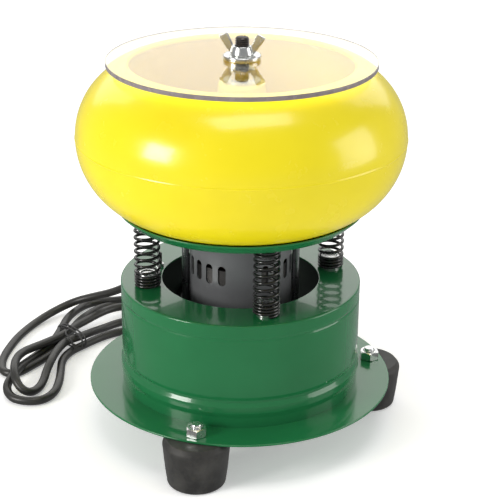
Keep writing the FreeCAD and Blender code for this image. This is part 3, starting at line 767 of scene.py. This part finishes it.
def make_tie():
    """Wire tie: two turns round the neck of the hank, with a loose end that hangs in front."""
    along = Vector((0.721, 0.693, 0))
    across = Vector((-0.693, 0.721, 0))
    middle = Vector((-138.5, 114.0, 7.9))
    points = []
    turns, per_turn = 2, 32
    for k in range(turns * per_turn + 1):
        a = 2 * math.pi * k / per_turn - 0.5
        shift = 3.5 - 7.0 * k / (turns * per_turn)
        lift = 7.1 * math.copysign(abs(math.sin(a)) ** 0.7, math.sin(a))
        points.append(middle + across * (17.4 * math.cos(a)) + along * shift + Vector((0, 0, lift)))
    tie = bmesh.new()
    tube_into(tie, points, 0.75, 8)
    loose = [(-141.0, 112.0, 14.6), (-142.0, 106.0, 15.4), (-141.2, 101.5, 15.6), (-138.6, 98.0, 15.0),
             (-136.2, 96.4, 12.6), (-135.0, 95.2, 9.0), (-134.6, 94.2, 6.0)]
    tube_into(tie, loose, 0.75, 8)
    piece = from_bmesh("cord_tie_look", tie, plug_black_mat, 50.0)
    return settle(piece, "base", "plug_black", "cord_tie")


def make_plug():
    """Moulded plug body: rounded sections along X, with grip ribs and a ribbed tail."""
    build = bmesh.new()
    z = PLUG_HALF_HEIGHT
    sections = []
    for k in range(8):
        x = PLUG_X + 0.6 + k * 2.7
        wide = 3.5 + 0.33 * k
        for dx, grow in ((0.0, 0.0), (0.5, 0.8), (1.5, 0.8), (2.0, 0.0)):
            sections.append((x + dx, wide + grow, wide + grow, 2.0))
    body = [(22.4, 9.0, 7.6, 2.6), (24.0, 11.6, 9.0, 3.4), (26.0, 12.6, 9.7, 4.0)]
    for k in range(5):
        x = 27.5 + 3.2 * k
        body += [(x, 12.9, 9.85, 4.4), (x + 0.9, 12.9, 9.85, 4.4)]
        body += [(x + 1.4, 12.2, 9.5, 4.4), (x + 2.5, 12.2, 9.5, 4.4)]
    body += [(44.0, 12.9, 9.85, 4.4), (50.0, 12.9, 9.85, 4.4), (51.4, 12.4, 9.4, 4.4), (52.0, 11.2, 8.4, 4.4)]
    sections += [(PLUG_X + x, w, h, power) for x, w, h, power in body]
    sides = 48
    rings = []
    for x, wide, tall, power in sections:
        ring = []
        for k in range(sides):
            a = 2 * math.pi * k / sides
            c, s = math.cos(a), math.sin(a)
            y = wide * math.copysign(abs(c) ** (2 / power), c)
            up = tall * math.copysign(abs(s) ** (2 / power), s)
            ring.append(build.verts.new(Vector((x, PLUG_Y + y, z + up)) * MM))
        rings.append(ring)
    for a, b in zip(rings, rings[1:]):
        for k in range(sides):
            j = (k + 1) % sides
            build.faces.new((a[k], a[j], b[j], b[k]))
    build.faces.new(list(reversed(rings[0])))
    build.faces.new(rings[-1])
    plug = from_bmesh("power_plug_look", build, plug_black_mat, 40.0)
    return settle(plug, "base", "plug_black", "power_plug")


# ---------------------------------------------------------------- base
def make_feet():
    corners = [(9.5, 0.0, 0.6), (20.0, 0.0, 2.6), (21.6, 12.0, 40.0), (23.4, 31.0, 4.0),
               (20.6, FOOT_TOP, 1.2), (4.3, FOOT_TOP, 0), (4.3, 10.0, 0.3), (9.5, 10.0, 0.6)]
    outline = soften(corners, 7)
    for (name, angle), at in zip(FOOT_ANGLES.items(), FOOT_PLACES):
        foot = lathe("foot_%s_look" % name, outline, black_rubber_mat, 72, shifts([at]))
        settle(foot, "base", "black_rubber", "foot_" + name)


def make_foot_fasteners():
    nuts = bmesh.new()
    bolts = bmesh.new()
    washers = bmesh.new()
    washer = soften([(4.2, 8.4, 0.2), (8.5, 8.4, 0.3), (8.5, 10.0, 0.3), (4.2, 10.0, 0.2)], 3)
    for angle, at in zip(FOOT_ANGLES.values(), FOOT_PLACES):
        place = Matrix.Translation(at) @ Matrix.Rotation(math.radians(angle + 20), 4, "Z")
        hex_into(nuts, NUT_FLATS, FLANGE_TOP, FLANGE_TOP + 6.5, 4.05, place)
        hex_into(bolts, NUT_FLATS, 2.9, 8.4, 0, Matrix.Translation(at))
        thread_into(bolts, 4.0, 3.35, 1.25, 8.4, FLANGE_TOP + 8.6, place, 28)
        lathe_into(washers, washer, 40, Matrix.Translation(at))
    settle(from_bmesh("foot_nuts_look", nuts, zinc_mat, 25), "base", "zinc_steel", "foot_nuts")
    settle(from_bmesh("foot_bolts_look", bolts, zinc_mat, 40), "base", "zinc_steel", "foot_bolts")
    settle(from_bmesh("foot_washers_look", washers, zinc_mat), "base", "zinc_steel", "foot_washers")


def make_flange():
    corners = [(FLANGE_HOLE_R, FOOT_TOP, 0.4), (FLANGE_R, FOOT_TOP, 0.5),
               (FLANGE_R, FLANGE_TOP, 0.6), (FLANGE_HOLE_R, FLANGE_TOP, 0.4)]
    flange = lathe("base_flange_look", soften(corners, 4), green_mat, 192)
    settle(flange, "base", "green_paint", "base_flange")


def make_drum():
    """Sheet drum: a rolled bead low on its wall, a fine groove under its rolled top edge."""
    low = FLANGE_TOP
    t = DRUM_SHEET
    wall = [
        (DRUM_R, low, 0), (DRUM_R, low + 7.6, 5.0), (DRUM_R + BEAD_OUT, low + 11.0, 3.0),
        (DRUM_R + BEAD_OUT, low + 15.6, 2.0), (DRUM_R - BEAD_OUT, low + 18.4, 1.0),
        (DRUM_R - BEAD_OUT, low + 20.4, 1.2),
        (DRUM_R, low + 22.8, 4.0), (DRUM_R, DRUM_TOP - 11.8, 2.0), (DRUM_R - 0.5, DRUM_TOP - 10.4, 1.0),
        (DRUM_R, DRUM_TOP - 9.0, 2.0), (DRUM_R, DRUM_TOP, 1.3), (DRUM_HOLE_R, DRUM_TOP, 0.5),
        (DRUM_HOLE_R, DRUM_TOP - t, 0.3),
    ]
    inside = [(DRUM_R - t, DRUM_TOP - t, 0.6)]
    inside += [(r - t, z, rounding) for r, z, rounding in reversed(wall[:10])]
    drum = lathe("base_drum_look", soften(wall + inside, 5), green_mat, 192, sharp=40)
    # The inner faces of the wall and the underside of the top get a second, dark material: painted shade
    # where the inside of the drum lies in shadow.
    drum.data.materials.append(painted_shade_inside())
    for face in drum.data.polygons:
        out = face.center.xy.length / MM
        inward = face.normal.xy.dot(face.center.xy) < 0 and out > DRUM_HOLE_R + 2
        under_top = face.normal.z < -0.5 and face.center.z / MM > DRUM_TOP - 2 * t
        if inward or under_top:
            face.material_index = 1
    settle(drum, "base", "green_paint", "base_drum")


def make_earth_screw():
    low_corner, high_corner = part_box("earth_nut")
    at = (low_corner + high_corner) / 2 / MM
    at.z = 0
    build = bmesh.new()
    thread_into(build, 1.5, 1.2, 0.6, DRUM_TOP - 3, high_mm("earth_screw").z, Matrix.Translation(at), 20, 5)
    hex_into(build, 5.5, DRUM_TOP - 3.2, DRUM_TOP - DRUM_SHEET, 0, Matrix.Translation(at), 4)
    settle(from_bmesh("earth_screw_look", build, black_steel_mat, 40), "base", "black_steel", "earth_screw")
    nut = bmesh.new()
    hex_into(nut, 5.5, DRUM_TOP, DRUM_TOP + 2.4, 1.5, Matrix.Translation(at), 4)
    settle(from_bmesh("earth_nut_look", nut, zinc_mat, 25), "base", "zinc_steel", "earth_nut")


def make_springs():
    """Wound springs with closed ends, between the base and the head."""
    low = DRUM_TOP + SPRING_WIRE / 2 + 0.05
    high = PLATE_BOTTOM - SPRING_WIRE / 2 - 0.05
    closed_low = CLOSED_PITCH * CLOSED_TURNS_LOW
    closed_high = CLOSED_PITCH * CLOSED_TURNS_HIGH
    open_pitch = (high - low - closed_low - closed_high) / OPEN_TURNS
    turns, per_turn = CLOSED_TURNS_LOW + OPEN_TURNS + CLOSED_TURNS_HIGH, 28
    for name, angle in SPRING_ANGLES.items():
        at = around(SPRING_CIRCLE_R, angle)
        points = []
        for k in range(int(turns * per_turn) + 1):
            t = k / per_turn
            rise = CLOSED_PITCH * min(t, CLOSED_TURNS_LOW)
            rise += open_pitch * min(max(t - CLOSED_TURNS_LOW, 0), OPEN_TURNS)
            rise += CLOSED_PITCH * max(t - CLOSED_TURNS_LOW - OPEN_TURNS, 0)
            points.append(at + around(SPRING_COIL_R, 360 * t + angle, low + rise))
        spring = tube("spring_%s_look" % name, points, SPRING_WIRE / 2, spring_mat, 10)
        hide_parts("spring_" + name)
        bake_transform(spring)


def make_spigots():
    """Turned spigots in the springs' ends; the lower ones have a cupped top that shows."""
    top = DRUM_TOP + 9.8
    low = soften([(0, DRUM_TOP, 0), (SPIGOT_R, DRUM_TOP, 0.2), (SPIGOT_R, top, 0.9),
                  (4.9, top - 0.2, 0.6), (4.2, top - 0.9, 0.5), (0, top - 0.9, 0)], 4)
    lower = lathe("spring_lower_spigots_look", low, zinc_mat, 40, shifts(SPRING_PLACES))
    settle(lower, "base", "zinc_steel", "spring_lower_spigots")
    foot = PLATE_BOTTOM - 8.0
    high = soften([(0, foot, 0), (5.7, foot, 0.6), (SPIGOT_R, foot + 1.2, 0.4),
                   (SPIGOT_R, PLATE_BOTTOM, 0.2), (0, PLATE_BOTTOM, 0)], 4)
    upper = lathe("spring_upper_spigots_look", high, zinc_mat, 40, shifts(SPRING_PLACES))
    settle(upper, "head", "zinc_steel", "spring_upper_spigots")


def make_motor_lead():
    """Slack lead from the terminal block to the motor."""
    points = [around(77.5, -116, 48.1), around(77.4, -115.8, 52), around(77.0, -115.5, 56),
              around(75.0, -114.8, 60), around(72.0, -114, 63), around(67, -113, 66), around(62, -112, 69.5),
              around(57, -112, 74), around(52.7, -112, 79.5), around(49, -112, 86), around(46.8, -112, 91),
              around(44, -112, 94.8), around(40.5, -112, 96.7), around(MOTOR_R + 0.7, -112, 97)]
    lead = tube("motor_lead_look", points, 2.0, black_cord_mat, 14)
    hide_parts("motor_lead")
    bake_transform(lead)


# ---------------------------------------------------------------- vibrating head
def make_plate():
    """Dished plate under the bowl, with a lip that opens outwards."""
    top = PLATE_BOTTOM + PLATE_SHEET
    hole = STUD_R + 0.2
    corners = [(hole, PLATE_BOTTOM, 0.2), (PLATE_FLAT_R, PLATE_BOTTOM, 5.0),
               (PLATE_R - 1.0, PLATE_RIM - 1.8, 2.0), (PLATE_R, PLATE_RIM - 0.5, 0.6),
               (PLATE_R - 0.7, PLATE_RIM, 0.5), (PLATE_R - 1.9, PLATE_RIM - 0.3, 0.6),
               (PLATE_FLAT_R + 1.2, top + 0.9, 4.0), (hole, top, 0.2)]
    plate = lathe("top_plate_look", soften(corners, 6), green_mat, 192)
    settle(plate, "head", "green_paint", "top_plate")


def make_stud():
    build = bmesh.new()
    thread_into(build, STUD_R, STUD_R - 0.95, STUD_PITCH, STUD_LOW, STUD_TOP, segments=44, per_turn=8)
    settle(from_bmesh("center_stud_look", build, black_steel_mat, 60), "head", "black_steel", "center_stud")
    for node in ("stud_lower_nut", "stud_upper_nut"):
        nut = bmesh.new()
        low, high = low_mm(node).z, high_mm(node).z
        hex_into(nut, STUD_NUT_FLATS, low, high, STUD_R + 0.05, Matrix.Identity(4))
        settle(from_bmesh(node + "_look", nut, zinc_mat, 25), "head", "zinc_steel", node)


def make_motor_can():
    """Rolled can with groups of upright vent slots cut through it."""
    wall = 1.0
    corners = [(MOTOR_R, MOTOR_LOW, 0.4), (MOTOR_R, MOTOR_HIGH, 0.4),
               (MOTOR_R - wall, MOTOR_HIGH, 0.3), (MOTOR_R - wall, MOTOR_LOW, 0.3)]
    can = lathe("motor_can_look", soften(corners, 3), motor_mat, 180)
    cutter = bmesh.new()
    rim = arc((0, SLOT_HIGH - SLOT_R), SLOT_R, SLOT_R, 0, 180, 10)
    rim += arc((0, SLOT_LOW + SLOT_R), SLOT_R, SLOT_R, 180, 360, 10)
    for group_angle in SLOT_GROUPS:
        for k in range(4):
            turn = Matrix.Rotation(math.radians(group_angle + SLOT_STEP * (k - 1.5)), 4, "Z")
            near = [cutter.verts.new((turn @ Vector((x, -MOTOR_R - 2, z))) * MM) for x, z in rim]
            far = [cutter.verts.new((turn @ Vector((x, -MOTOR_R + 3, z))) * MM) for x, z in rim]
            cutter.faces.new(near)
            cutter.faces.new(list(reversed(far)))
            for i in range(len(rim)):
                j = (i + 1) % len(rim)
                cutter.faces.new((near[i], far[i], far[j], near[j]))
    slots = from_bmesh("slot_cutter", cutter, motor_mat)
    cut = can.modifiers.new("slots", "BOOLEAN")
    cut.object = slots
    cut.solver = "EXACT"
    apply_modifiers(can)
    bpy.data.objects.remove(slots)
    can.data.set_sharp_from_angle(angle=math.radians(35))
    settle(can, "head", "motor_grey", "motor_can")


# ---------------------------------------------------------------- bowl and lid
def make_bowl():
    """One-piece bowl: rounded ring, parting line at its widest, open mouth, centre cone.

    The ring's lower and upper halves are quarters of two ellipses that meet at the widest line.
    """
    wall = BOWL_WALL
    low = (60.5, EQUATOR)
    high = (66.75, EQUATOR)
    low_size = (BOWL_R - low[0], EQUATOR - BOWL_BOTTOM)
    high_size = (BOWL_R - high[0], 50.6)
    lip = 1.9
    lip_r = MOUTH_R + lip

    def mouth_angle(half_width):
        return math.degrees(math.acos((lip_r - high[0]) / half_width))

    outer = arc(low, *low_size, -90, -3, 36)
    outer += arc(low, *low_size, -2.6, 0, 14)
    outer += arc(high, *high_size, 0.2, 3, 14)
    outer += arc(high, *high_size, 4, mouth_angle(high_size[0]), 40)
    outer = [(r + 0.32 * math.exp(-((z - EQUATOR) / 0.55) ** 2) - 0.30, z) for r, z in outer]
    inner_size = (high_size[0] - wall, high_size[1] - wall)
    lip_low = EQUATOR + inner_size[1] * math.sin(math.radians(mouth_angle(inner_size[0])))
    lip_high = outer[-1][1]
    lip_edge = arc((lip_r, (lip_low + lip_high) / 2), lip, (lip_high - lip_low) / 2, 96, 264, 12)
    inner = arc(high, *inner_size, mouth_angle(inner_size[0]) - 1, 0, 30)
    inner += arc(low, low_size[0] - wall, low_size[1] - wall, -3, -90, 30)
    floor = BOWL_BOTTOM + wall
    top = low_mm("bowl_washer").z
    cone = [(32.0, floor, 0), (24.0, floor, 7.0), (16.0, top, 1.6), (STUD_R + 0.5, top, 0.4),
            (STUD_R + 0.5, top - wall, 0.2), (12.5, top - wall, 1.5), (20.5, BOWL_BOTTOM, 1.0)]
    profile = outer + lip_edge + inner + soften(cone, 6)[:-1]
    profile[0] = (low[0], BOWL_BOTTOM)
    bowl = lathe("bowl_look", profile, yellow_mat, 192, sharp=60)
    settle(bowl, "bowl", "yellow_plastic", "bowl")


def make_washer(node):
    """A washer round the stud, on the body of its own name."""
    low, high, hole = low_mm(node).z, high_mm(node).z, 5.3
    corners = [(hole, low, 0.25), (WASHER_R, low, 0.5), (WASHER_R, high, 0.7), (hole, high, 0.35)]
    washer = lathe(node + "_look", soften(corners, 4), zinc_mat, 72)
    settle(washer, node, "zinc_steel", node)


def make_bowl_fasteners():
    make_washer("bowl_washer")
    nut = bmesh.new()
    place = Matrix.Rotation(math.radians(10), 4, "Z")
    hex_into(nut, STUD_NUT_FLATS, low_mm("bowl_nut").z, high_mm("bowl_nut").z, 5.05, place)
    settle(from_bmesh("bowl_nut_look", nut, zinc_mat, 25), "bowl_nut", "zinc_steel", "bowl_nut")


def make_lid():
    """Flat clear lid with a duller sawn rim coloured with a painted reflection, and its washer."""
    corners = [(STUD_R + 0.5, LID_LOW, 0.2), (LID_R, LID_LOW, 0.35), (LID_R, LID_HIGH, 0.35),
               (STUD_R + 0.5, LID_HIGH, 0.2)]
    lid = lathe("lid_look", soften(corners, 3), lid_mat, 192)
    # Faces at the rim get the opaque greyish mauve: a painted reflection in place of the light seen in the
    # clear edge.
    lid.data.materials.append(lid_edge_painted_reflection())
    rim_r = (LID_R - 0.2) * MM
    for face in lid.data.polygons:
        if math.hypot(face.center.x, face.center.y) > rim_r:
            face.material_index = 1
    lid.visible_shadow = False
    settle(lid, "lid", "clear_lid", "lid")
    make_washer("lid_washer")


def make_wing_nut():
    """Cast wing nut: hub and wings are merged into one skin, then smoothed a little."""
    low = low_mm("wing_nut").z
    hub = soften([(5.05, low, 0.3), (8.0, low, 0.5), (7.7, low + 1.4, 0.8), (6.1, low + 6.2, 0.8),
                  (5.05, low + 6.2, 0.2)], 4)
    build = bmesh.new()
    lathe_into(build, hub, 64)
    wing = soften([(5.5, low + 2.6, 0.4), (5.5, low + 4.2, 0.4), (10.6, low + 14.8, 0.9),
                   (16.5, low + 11.9, 0.9), (8.4, low + 0.7, 1.2), (6.6, low + 0.7, 0.4)], 4)
    half = 1.2
    for side in (-1, 1):
        front, back = [[build.verts.new(Vector((side * x, y, z)) * MM) for x, z in wing]
                       for y in (-half, half)]
        build.faces.new(front)
        build.faces.new(list(reversed(back)))
        for k in range(len(wing)):
            j = (k + 1) % len(wing)
            build.faces.new((front[k], back[k], back[j], front[j]))
    turn = Matrix.Rotation(math.radians(WING_TURN), 3, "Z")
    bmesh.ops.rotate(build, verts=build.verts, cent=(0, 0, 0), matrix=turn)
    nut = from_bmesh("wing_nut_look", build, zinc_mat, 180)
    skin = nut.modifiers.new("skin", "REMESH")
    skin.mode = "VOXEL"
    skin.voxel_size = 0.28 * MM
    soft = nut.modifiers.new("soft", "SMOOTH")
    soft.factor = 0.5
    soft.iterations = 3
    apply_modifiers(nut)
    nut.data.polygons.foreach_set("use_smooth", [True] * len(nut.data.polygons))
    settle(nut, "wing_nut", "zinc_steel", "wing_nut")


# ---------------------------------------------------------------- the CAD parts that stay
def dress_cad_nodes():
    """Gives every CAD node the material of its slot."""
    slot_of = {part["node"]: part["material_slot"] for part in frame["record"]["subparts"]}
    for name, node in frame["nodes"].items():
        node.data.materials.clear()
        node.data.materials.append(MATERIALS[slot_of[name]])


MATERIALS = {make.__name__: make() for make in (
    yellow_plastic, green_paint, black_rubber, zinc_steel, spring_steel, black_steel, bare_steel,
    motor_grey, lamination, copper_coil, cast_weight, brass_screw, terminal_plastic, black_cord,
    plug_black, clear_lid)}
yellow_mat = MATERIALS["yellow_plastic"]
green_mat = MATERIALS["green_paint"]
black_rubber_mat = MATERIALS["black_rubber"]
zinc_mat = MATERIALS["zinc_steel"]
spring_mat = MATERIALS["spring_steel"]
black_steel_mat = MATERIALS["black_steel"]
motor_mat = MATERIALS["motor_grey"]
black_cord_mat = MATERIALS["black_cord"]
plug_black_mat = MATERIALS["plug_black"]
lid_mat = MATERIALS["clear_lid"]

make_camera()
make_lights()
make_floor()
dress_cad_nodes()
cord = make_cord()
relief = make_strain_relief()
tie = make_tie()
plug = make_plug()
make_feet()
make_foot_fasteners()
make_flange()
make_drum()
make_earth_screw()
make_springs()
make_spigots()
make_motor_lead()
make_plate()
make_stud()
make_motor_can()
make_bowl()
make_bowl_fasteners()
make_lid()
make_wing_nut()
